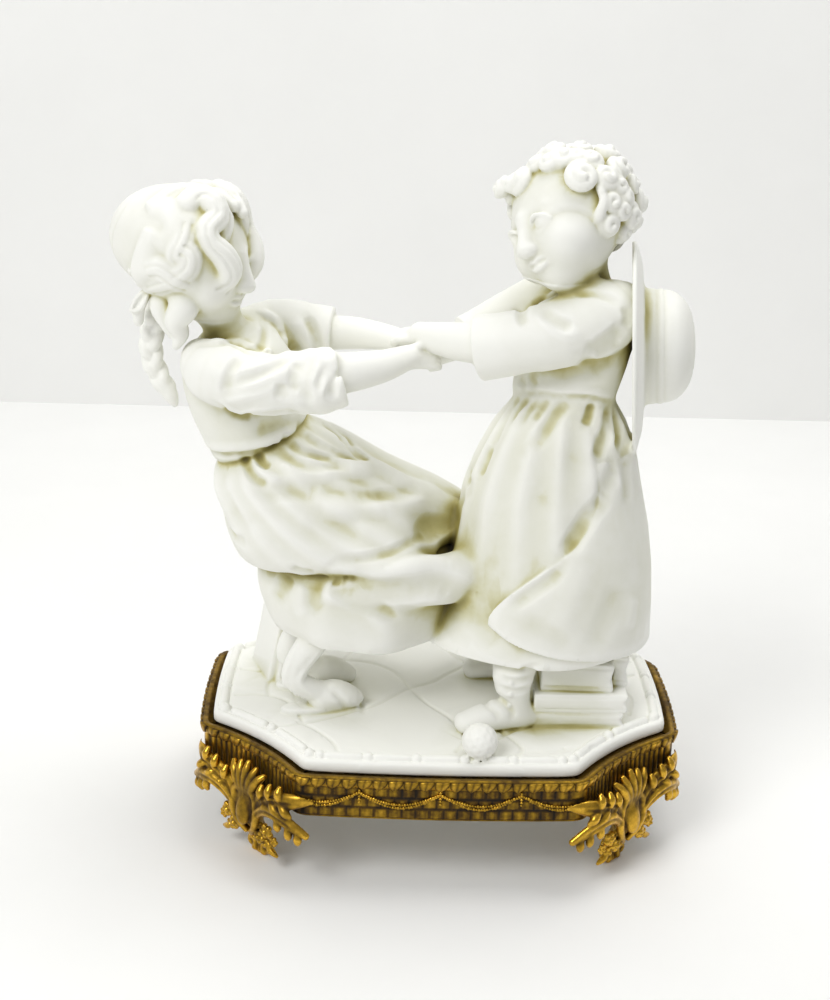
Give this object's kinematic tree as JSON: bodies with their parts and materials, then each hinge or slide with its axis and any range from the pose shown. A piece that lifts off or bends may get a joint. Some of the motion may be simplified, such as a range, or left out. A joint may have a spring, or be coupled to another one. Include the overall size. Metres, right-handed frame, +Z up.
{
  "type": "bisque figurine on stand",
  "caption": "Bisque group of children dancing hand in hand on an octagonal paved plinth, carried by a gilt pressed-metal stand with leafy cast feet. Decorative statuette.",
  "frame": {"origin": "middle of the part's box, on the ground under the four feet", "axes": "+Z up; +X along the plinth's long side, from the child with plaits to the child with the hat; -Y towards the front"},
  "size_m": [0.189, 0.1262, 0.2355],
  "materials": {
    "bisque": "unglazed matt biscuit porcelain, ivory, with ochre toning in the recesses",
    "gilt_metal": "gilt pressed and cast metal, bright on the high places, dark brown in the recesses"
  },
  "bodies": {
    "root": {"figurine": "bisque", "stand_band": "gilt_metal", "foot_front_left": "gilt_metal", "foot_front_right": "gilt_metal", "foot_back_left": "gilt_metal", "foot_back_right": "gilt_metal"}
  },
  "joints": []
}
